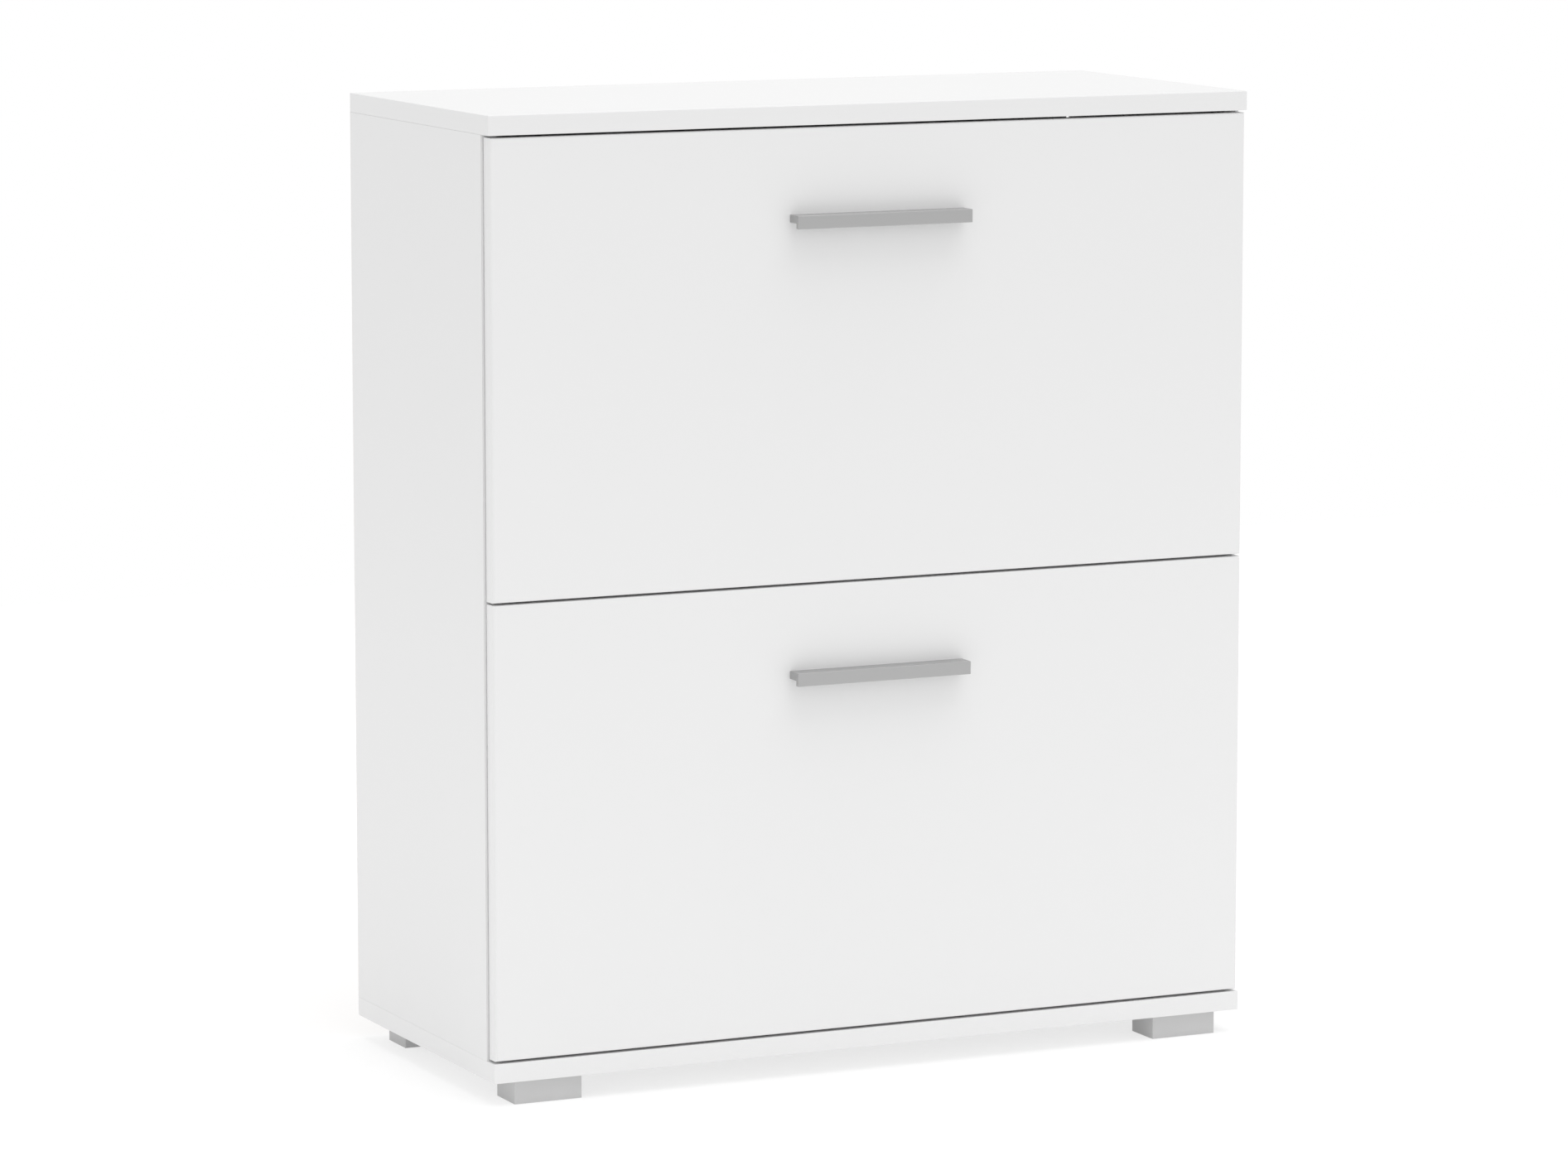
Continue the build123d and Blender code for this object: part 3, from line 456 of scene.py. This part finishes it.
@dataclass
class Edging:
    """Plastic edging glued round a board: it stands a hair proud, so its joint line shows."""

    node: str
    body: Body
    across: int                              # the axis through the board's thickness
    rounding_mm: float
    rounded_sides: Sequence[int] = (-1, 1)   # which faces' edges are rounded, down or up the axis
    open_rear: bool = False                  # the rear edge stays bare, and the front corners are rounded
    thickness_mm: float = 0.5
    segments: int = 6

    def corners(self) -> Box:
        """The box of the edging's outer surface."""
        low, high = (Vector(corner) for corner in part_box(self.node))
        for axis in range(3):
            if axis != self.across or -1 in self.rounded_sides:
                low[axis] -= PROUD
            if (axis != self.across or 1 in self.rounded_sides) and not (axis == 1 and self.open_rear):
                high[axis] += PROUD
        return low, high

    def build(self) -> None:
        """Make the ring from a box that is open on the board's two faces."""
        low, high = self.corners()
        shape = solid_box(low, high)
        rear = set(edges_at(shape, 1, high.y)) if self.open_rear else set()
        rounded = []
        for side in self.rounded_sides:
            rounded += edges_at(shape, self.across, low[self.across] if side < 0 else high[self.across])
        if self.open_rear:
            rounded += [edge for edge in edges_at(shape, 1, low.y) if edge not in rounded]
        round_edges(shape, [edge for edge in rounded if edge not in rear], self.rounding_mm * MM + PROUD,
                    self.segments)
        gone = [face for face in shape.faces if 1 - abs(face.normal[self.across]) < SQUARE_ON
                or (self.open_rear and 1 - face.normal.y < SQUARE_ON)]
        bmesh.ops.delete(shape, geom=gone, context="FACES")
        bmesh.ops.recalc_face_normals(shape, faces=shape.faces)
        bmesh.ops.solidify(shape, geom=shape.faces[:], thickness=self.thickness_mm * MM)
        add_piece(f"{self.node}_edging", shape, ABS_EDGING, self.body)


@dataclass
class FrontStrip:
    """Edging on the front edge alone of a board that other boards hide elsewhere."""

    node: str
    thickness_mm: float = 0.5
    rounding_mm: float = 0.3
    segments: int = 3

    def build(self) -> None:
        """Make the strip and round its two front edges."""
        low, high = (Vector(corner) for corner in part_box(self.node))
        high.y = low.y + self.thickness_mm * MM
        low.y -= PROUD
        shape = solid_box(low, high)
        long_axis = 2 if (high - low).z > (high - low).x else 0
        front = [edge for edge in edges_at(shape, 1, low.y)
                 if abs(edge.verts[0].co[long_axis] - edge.verts[1].co[long_axis]) > MM]
        round_edges(shape, front, self.rounding_mm * MM, self.segments)
        add_piece(f"{self.node}_edging", shape, ABS_EDGING, Body.CABINET)


# ---- Handles ----------------------------------------------------------------------------------

@dataclass
class BarHandle:
    """A bar handle cut from an aluminium angle: a web against the door, and a deeper plate in front."""

    flap: Flap
    plate_mm: float = 4.5
    web_mm: float = 7.3
    rounding_mm: float = 0.45
    segments: int = 3

    def build(self) -> None:
        """Extrude the angle's outline along X and round its free edges."""
        node = f"{self.flap.value}_handle"
        low, high = (Vector(corner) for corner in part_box(node))
        inner_y = low.y + self.plate_mm * MM
        inner_z = high.z - self.web_mm * MM
        outline = ((high.y, high.z), (low.y, high.z), (low.y, low.z), (inner_y, low.z), (inner_y, inner_z),
                   (high.y, inner_z))
        shape = bmesh.new()
        end = shape.faces.new([shape.verts.new((low.x, y, z)) for y, z in outline])
        grown = bmesh.ops.extrude_face_region(shape, geom=[end], use_keep_orig=True)
        moved = [item for item in grown["geom"] if isinstance(item, bmesh.types.BMVert)]
        bmesh.ops.translate(shape, verts=moved, vec=(high.x - low.x, 0, 0))
        bmesh.ops.recalc_face_normals(shape, faces=shape.faces)
        door_side = set(edges_at(shape, 1, high.y))
        inner_corner = set(edges_at(shape, 1, inner_y)) & set(edges_at(shape, 2, inner_z))
        free = [edge for edge in shape.edges if edge not in door_side and edge not in inner_corner]
        round_edges(shape, free, self.rounding_mm * MM, self.segments)
        add_piece(f"{self.flap.value}_bar_handle", shape, ANODISED, self.flap.body,
                  [node])


# ---- Fasteners --------------------------------------------------------------------------------

@dataclass
class Place:
    """Where one fastener of a group lies: its box, the middle of its head's face, and its direction."""

    low: Vector
    high: Vector
    head: Vector = field(default_factory=Vector)
    direction: Vector = field(default_factory=Vector)

    @property
    def size(self) -> Vector:
        """The box's extents."""
        return self.high - self.low


def separate_places(node: str) -> list[Place]:
    """Find the separate solids of a CAD node.

    Args:
        node: the node's name.

    Returns:
        One place for each solid, from left to right, front to back and low to high.
    """
    copy = bmesh.new()
    copy.from_mesh(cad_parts[node].data)
    bmesh.ops.remove_doubles(copy, verts=copy.verts, dist=SAME_PLACE)
    waiting = set(copy.verts)
    places = []
    while waiting:
        reached = [waiting.pop()]
        for vert in reached:
            for edge in vert.link_edges:
                other = edge.other_vert(vert)
                if other in waiting:
                    waiting.remove(other)
                    reached.append(other)
        points = [v.co.copy() for v in reached]
        low = Vector([min(p[i] for p in points) for i in range(3)])
        high = Vector([max(p[i] for p in points) for i in range(3)])
        place = Place(low, high)
        aim_place(place, points)
        places.append(place)
    copy.free()
    return sorted(places, key=lambda p: (round(p.low.x, 4), round(p.low.y, 4), round(p.low.z, 4)))


def aim_place(place: Place, points: Sequence[Vector]) -> None:
    """Find a fastener's axis, and which of its ends is the wide one.

    Args:
        place: the place, whose head and direction are set here.
        points: the solid's points.
    """
    size = place.size
    axis = max(range(3), key=lambda i: size[i])
    middle = (place.low + place.high) / 2
    spread = []
    for end in (place.low[axis], place.high[axis]):
        near = [p for p in points if abs(p[axis] - end) < END_REACH]
        spread.append(max((p - middle)[i] for p in near for i in range(3) if i != axis))
    at_low = spread[0] > spread[1]
    place.head = middle.copy()
    place.head[axis] = place.low[axis] if at_low else place.high[axis]
    place.direction = Vector((0, 0, 0))
    place.direction[axis] = 1.0 if at_low else -1.0


def cut_cross(shape: bmesh.types.BMesh, arm: float, width: float, depth: float, taper: float) -> None:
    """Sink a tapered cross into the flat face at z = 0 that looks down -Z.

    Args:
        shape: a fastener along +Z with its head's face at z = 0.
        arm: half the length of the cross's arms.
        width: half their width.
        depth: how deep it goes.
        taper: size of its floor, as a share of its opening.
    """
    for axis in (0, 1):
        for distance in (-arm, -width, width, arm):
            top = [face for face in shape.faces if all(abs(v.co.z) < SAME_PLANE for v in face.verts)]
            geom = set(top)
            for face in top:
                geom.update(face.edges)
                geom.update(face.verts)
            normal = Vector((1, 0, 0)) if axis == 0 else Vector((0, 1, 0))
            bmesh.ops.bisect_plane(shape, geom=list(geom), dist=CUT_REACH, plane_co=normal * distance,
                                   plane_no=normal)
    cross = []
    for face in shape.faces:
        if any(abs(v.co.z) > SAME_PLANE for v in face.verts):
            continue
        spot = face.calc_center_median()
        if (abs(spot.x) < width and abs(spot.y) < arm) or (abs(spot.y) < width and abs(spot.x) < arm):
            cross.append(face)
    sunk = bmesh.ops.extrude_face_region(shape, geom=cross)
    bmesh.ops.delete(shape, geom=[face for face in cross if face.is_valid], context="FACES")
    floor = [item for item in sunk["geom"] if isinstance(item, bmesh.types.BMVert)]
    bmesh.ops.scale(shape, verts=floor, vec=(taper, taper, 1))
    bmesh.ops.translate(shape, verts=floor, vec=(0, 0, depth))


@dataclass
class ScrewSet:
    """A group of equal countersunk screws with a cross recess and a ridged thread."""

    node: str
    body: Body
    shank_mm: float                # radius under the thread's crests
    head_height_mm: float = 2.2
    pitch_mm: float = 1.3
    plain_mm: float = 0.4          # length of smooth shank below the head
    pointed: bool = True
    steps: int = 20
    rim_mm: float = 0.25           # height of the head's upright rim
    rim_break_mm: float = 0.05     # how much the rim's edge is broken
    neck_share: float = 0.8        # smooth shank's radius, as a share of the crests'
    root_share: float = 0.78       # thread's root radius, as a share of the crests'
    crest_share: float = 0.45      # place of the crest in each pitch
    point_length: float = 1.6      # length of a pointed tip, in radii of the shank
    blunt_length: float = 0.4      # length of a blunt tip, in radii of the shank
    blunt_share: float = 0.55      # radius of a blunt tip's flat, as a share of the crests'
    cross_arm: float = 0.52        # half the length of the cross's arms, in head radii
    cross_width: float = 0.14      # half their width, in head radii
    cross_depth: float = 0.55      # depth of the cross, in heights of the head
    cross_taper: float = 0.72      # size of the cross's floor, as a share of its opening

    def profile(self, length: float, head_radius: float) -> list[Vector]:
        """The outline from the rim of the head's face to the tip, in X and Z.

        Args:
            length: the screw's whole length.
            head_radius: radius of the head's face.

        Returns:
            The outline's points, the last on the axis.
        """
        shank = self.shank_mm * MM
        head = self.head_height_mm * MM
        neck = shank * self.neck_share
        root = shank * self.root_share
        points = [Vector((head_radius - self.rim_break_mm * MM, 0, 0)),
                  Vector((head_radius, 0, self.rim_mm * MM)), Vector((neck, 0, head))]
        z = head + self.plain_mm * MM
        points.append(Vector((neck, 0, z)))
        tip = shank * (self.point_length if self.pointed else self.blunt_length)
        pitch = self.pitch_mm * MM
        while z + pitch < length - tip:
            points.append(Vector((shank, 0, z + pitch * self.crest_share)))
            points.append(Vector((root, 0, z + pitch)))
            z += pitch
        points.append(Vector((root, 0, length - tip)))
        if not self.pointed:
            points.append(Vector((shank * self.blunt_share, 0, length)))
        points.append(Vector((0, 0, length)))
        return points

    def one_screw(self, length: float, head_radius: float) -> bmesh.types.BMesh:
        """Spin the outline round Z and sink the cross.

        Args:
            length: the screw's whole length.
            head_radius: radius of the head's face.

        Returns:
            A screw along +Z, its head's face at z = 0.
        """
        shape = bmesh.new()
        points = [shape.verts.new(p) for p in self.profile(length, head_radius)]
        edges = [shape.edges.new(pair) for pair in zip(points, points[1:])]
        bmesh.ops.spin(shape, geom=points + edges, axis=(0, 0, 1), cent=(0, 0, 0), angle=math.tau,
                       steps=self.steps, use_merge=True)
        bmesh.ops.remove_doubles(shape, verts=shape.verts, dist=SAME_PLANE)
        rim = [edge for edge in shape.edges if edge.is_boundary]
        bmesh.ops.contextual_create(shape, geom=rim)
        cut_cross(shape, head_radius * self.cross_arm, head_radius * self.cross_width,
                  self.head_height_mm * MM * self.cross_depth, self.cross_taper)
        bmesh.ops.recalc_face_normals(shape, faces=shape.faces)
        return shape

    def build(self) -> None:
        """Put one screw at each solid of the CAD group."""
        whole = bmesh.new()
        for place in separate_places(self.node):
            length = max(place.size)
            head_radius = sorted(place.size)[1] / 2
            one = self.one_screw(length, head_radius)
            turn = Vector((0, 0, 1)).rotation_difference(place.direction).to_matrix().to_4x4()
            bmesh.ops.transform(one, matrix=Matrix.Translation(place.head) @ turn, verts=one.verts)
            join(whole, one)
        add_piece(f"{self.node}_detailed", whole, ZINC_STEEL, self.body, [self.node])


def join(whole: bmesh.types.BMesh, part: bmesh.types.BMesh) -> None:
    """Add a mesh to a whole, and free the added one."""
    mesh = bpy.data.meshes.new("part_of_a_group")
    part.to_mesh(mesh)
    part.free()
    whole.from_mesh(mesh)
    bpy.data.meshes.remove(mesh)


# ---- Studio -----------------------------------------------------------------------------------

@dataclass
class Studio:
    """A pale floor with thin shadows, an even pale surround, and one broad soft light from above."""

    surround: float = 0.83
    sun_strength: float = 1.25
    sun_softness_deg: float = 50.0
    sun_azimuth_deg: float = 35.0
    sun_elevation_deg: float = 79.0
    floor_half_m: float = 3.0
    floor_colour: str = "#E8E8E8"
    floor_glow: float = 0.22
    shadow_thinning: float = 0.58

    def build_floor(self) -> None:
        """Lay the floor under the cabinet."""
        shape = bmesh.new()
        bmesh.ops.create_grid(shape, x_segments=1, y_segments=1, size=self.floor_half_m)
        mesh = bpy.data.meshes.new("studio_floor")
        shape.to_mesh(mesh)
        shape.free()
        paint = Finish("pale_studio_floor", self.floor_colour, 0.9, grain_height_mm=0.0, tone_wander=0.0)
        cover = paint.material()
        self.whiten_shadows(cover.node_tree)
        mesh.materials.append(cover)
        floor = bpy.data.objects.new("studio_floor", mesh)
        bpy.context.scene.collection.objects.link(floor)

    def whiten_shadows(self, tree: bpy.types.NodeTree) -> None:
        """Make the floor glow a little, and show its shadows thinned towards white.

        Args:
            tree: the floor's nodes.
        """
        shader = next(node for node in tree.nodes if node.type == "BSDF_PRINCIPLED")
        shader.inputs["Emission Color"].default_value = (1, 1, 1, 1)
        shader.inputs["Emission Strength"].default_value = self.floor_glow
        white = add_node(tree, "Emission", {"Color": (1, 1, 1, 1), "Strength": 1.0})
        rays = add_node(tree, "LightPath")
        share = add_node(tree, "Math", {0: rays.outputs["Is Camera Ray"], 1: self.shadow_thinning},
                         operation="MULTIPLY")
        thinned = add_node(tree, "MixShader", {0: share.outputs["Value"], 1: shader.outputs["BSDF"],
                                               2: white.outputs["Emission"]})
        output = next(node for node in tree.nodes if node.type == "OUTPUT_MATERIAL")
        tree.links.new(thinned.outputs["Shader"], output.inputs["Surface"])

    def build_surround(self) -> None:
        """Light everything from an even surround that itself looks white."""
        world = bpy.data.worlds.new("studio_surround")
        bpy.context.scene.world = world
        world.use_nodes = True
        tree = world.node_tree
        tree.nodes.clear()
        glow = add_node(tree, "Background", {"Color": (1, 1, 1, 1), "Strength": self.surround})
        seen = add_node(tree, "Background", {"Color": (1, 1, 1, 1), "Strength": 1.0})
        rays = add_node(tree, "LightPath")
        chosen = add_node(tree, "MixShader", {0: rays.outputs["Is Camera Ray"], 1: glow.outputs[0],
                                              2: seen.outputs[0]})
        add_node(tree, "OutputWorld", {"Surface": chosen.outputs[0]})

    def build_sun(self) -> None:
        """Hang the broad light, which keeps its strength over the whole floor."""
        light = bpy.data.lights.new("broad_light", "SUN")
        light.energy = self.sun_strength
        light.angle = math.radians(self.sun_softness_deg)
        lamp = bpy.data.objects.new("broad_light", light)
        bpy.context.scene.collection.objects.link(lamp)
        azimuth = math.radians(self.sun_azimuth_deg)
        elevation = math.radians(self.sun_elevation_deg)
        towards = Vector((math.sin(azimuth) * math.cos(elevation), -math.cos(azimuth) * math.cos(elevation),
                          math.sin(elevation)))
        lamp.rotation_euler = towards.to_track_quat("Z", "Y").to_euler()

    def build(self) -> None:
        """Build the whole studio."""
        self.build_floor()
        self.build_surround()
        self.build_sun()
        bpy.context.scene.view_settings.view_transform = "Standard"
        bpy.context.scene.view_settings.look = "None"


@dataclass
class Viewpoint:
    """A long lens, a little to the cabinet's left and above it, aimed near the middle of its box."""

    azimuth_deg: float = -25.23
    elevation_deg: float = 8.24
    distance_m: float = 6.124
    lens_mm: float = 148.9
    sensor_mm: float = 36.0
    clip_end_m: float = 500.0
    aim_offset_m: tuple[float, float, float] = (-0.0160, 0.0088, -0.0174)

    def build(self) -> None:
        """Make the camera and give it to the scene."""
        camera = bpy.data.cameras.new("front_left_camera")
        camera.sensor_width = self.sensor_mm
        camera.lens = self.lens_mm
        camera.clip_end = self.clip_end_m
        holder = bpy.data.objects.new("front_left_camera", camera)
        bpy.context.scene.collection.objects.link(holder)
        azimuth = math.radians(self.azimuth_deg)
        elevation = math.radians(self.elevation_deg)
        back = Vector((math.sin(azimuth) * math.cos(elevation), -math.cos(azimuth) * math.cos(elevation),
                       math.sin(elevation)))
        low, high = (Vector(corner) for corner in CAD_BOX)
        aim = (low + high) / 2 + Vector(self.aim_offset_m)
        holder.location = aim + back * self.distance_m
        holder.rotation_euler = back.to_track_quat("Z", "Y").to_euler()
        bpy.context.scene.camera = holder


# ---- The cabinet ------------------------------------------------------------------------------

@dataclass
class Carcass:
    """The fixed panels, feet and fittings."""

    edging_rounding_mm: float = 0.6
    bare_rear_mm: float = 0.1          # depth to which the boards' rear edges are bare
    bare_back_mm: float = 0.2          # depth to which the thin back's rear face is bare
    fitting_shank_mm: float = 1.75
    foot_shank_mm: float = 2.0
    foot_head_mm: float = 2.6
    foot_plain_mm: float = 6.0

    def dress_panels(self) -> None:
        """Finish the boards and the thin back, with bare rear edges.

        The four outer boards share one material, because their rear edges lie in one plane.
        """
        for node in ("top_panel", "base_panel", "side_panel_left", "side_panel_right"):
            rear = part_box(node)[1][1]
            dress_node(node, replace(BARE_REAR_MELAMINE, raw_beyond_m=rear - self.bare_rear_mm * MM))
        for node in ("middle_shelf", "rear_rail"):
            dress_node(node, MELAMINE)
        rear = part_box("back_panel")[1][1]
        dress_node("back_panel", replace(HARDBOARD, raw_beyond_m=rear - self.bare_back_mm * MM))

    def add_edging(self) -> None:
        """Glue edging to the boards whose edges show."""
        for node in ("top_panel", "base_panel"):
            Edging(node, Body.CABINET, across=2, rounding_mm=self.edging_rounding_mm, open_rear=True).build()
        for node in ("side_panel_left", "side_panel_right", "middle_shelf"):
            FrontStrip(node).build()

    def dress_fittings(self) -> None:
        """Finish the feet, guides, brackets and fasteners."""
        for row in ("front", "rear"):
            for side in ("left", "right"):
                dress_node(f"foot_{row}_{side}", SILVER_ABS)
        for flap in Flap:
            for side in ("left", "right"):
                dress_node(f"{flap.value}_guide_{side}", GREY_POLYPROPYLENE)
        for side in ("left", "right"):
            dress_node(f"wall_bracket_{side}", ZINC_STEEL)
        for node in ("cam_bolts", "back_nails"):
            dress_node(node, ZINC_STEEL)
        dress_node("cam_locks", ZINC_CASTING)
        dress_node("dowels", BEECH)
        dress_node("door_buffers", BUFFER_RUBBER)

    def add_screws(self) -> None:
        """Put detailed screws in place of the plain ones."""
        ScrewSet("foot_screws", Body.CABINET, self.foot_shank_mm, head_height_mm=self.foot_head_mm,
                 plain_mm=self.foot_plain_mm).build()
        for node in ("bracket_screws", "guide_screws"):
            ScrewSet(node, Body.CABINET, self.fitting_shank_mm).build()

    def build(self) -> None:
        """Build and dress everything that stands still."""
        self.dress_panels()
        self.add_edging()
        self.dress_fittings()
        self.add_screws()


@dataclass
class TipOutFlap:
    """A door with its handle, and the shoe basket behind it."""

    flap: Flap
    door_rounding_mm: float = 2.0
    door_segments: int = 8
    sheet_grain_mm: float = 0.010      # height of the grain on the thin sheets
    bare_edge_mm: float = 0.05         # depth to which the sheets' upper edges are bare
    board_shank_mm: float = 1.75
    handle_shank_mm: float = 2.0
    handle_head_mm: float = 2.6
    handle_pitch_mm: float = 0.7
    handle_plain_mm: float = 8.0

    def named(self, piece: str) -> str:
        """The node of one of this flap's pieces."""
        return f"{self.flap.value}_{piece}"

    def dress_boards(self) -> None:
        """Finish the door, the floors and the thin sheets."""
        for piece in ("door", "front_floor", "rear_floor"):
            dress_node(self.named(piece), MELAMINE)
        for piece in ("partition", "backrest"):
            node = self.named(piece)
            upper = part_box(node)[1][2]
            dress_node(node, replace(HARDBOARD, name=f"{HARDBOARD.name}_{node}", raw_axis=Grain.ALONG_Z,
                                     grain_height_mm=self.sheet_grain_mm,
                                     raw_beyond_m=upper - self.bare_edge_mm * MM))
        Edging(self.named("door"), self.flap.body, across=1, rounding_mm=self.door_rounding_mm,
               rounded_sides=(-1,), segments=self.door_segments).build()

    def dress_frames(self) -> None:
        """Finish the moulded side frames."""
        for side in ("left", "right"):
            dress_node(self.named(f"frame_{side}"), GREY_POLYPROPYLENE)

    def add_screws(self) -> None:
        """Put detailed screws in place of the plain ones."""
        for piece in ("frame_screws", "floor_screws"):
            ScrewSet(self.named(piece), self.flap.body, self.board_shank_mm).build()
        ScrewSet(self.named("handle_screws"), self.flap.body, self.handle_shank_mm,
                 head_height_mm=self.handle_head_mm, pitch_mm=self.handle_pitch_mm,
                 plain_mm=self.handle_plain_mm, pointed=False).build()

    def build(self) -> None:
        """Build and dress everything that tips out together."""
        self.dress_boards()
        self.dress_frames()
        BarHandle(self.flap).build()
        self.add_screws()


def main() -> None:
    """Build the studio and the cabinet."""
    logging.basicConfig(level=logging.INFO, format="%(name)s: %(message)s")
    Viewpoint().build()
    Studio().build()
    Carcass().build()
    for flap in Flap:
        TipOutFlap(flap).build()


if __name__ == "__main__":
    main()
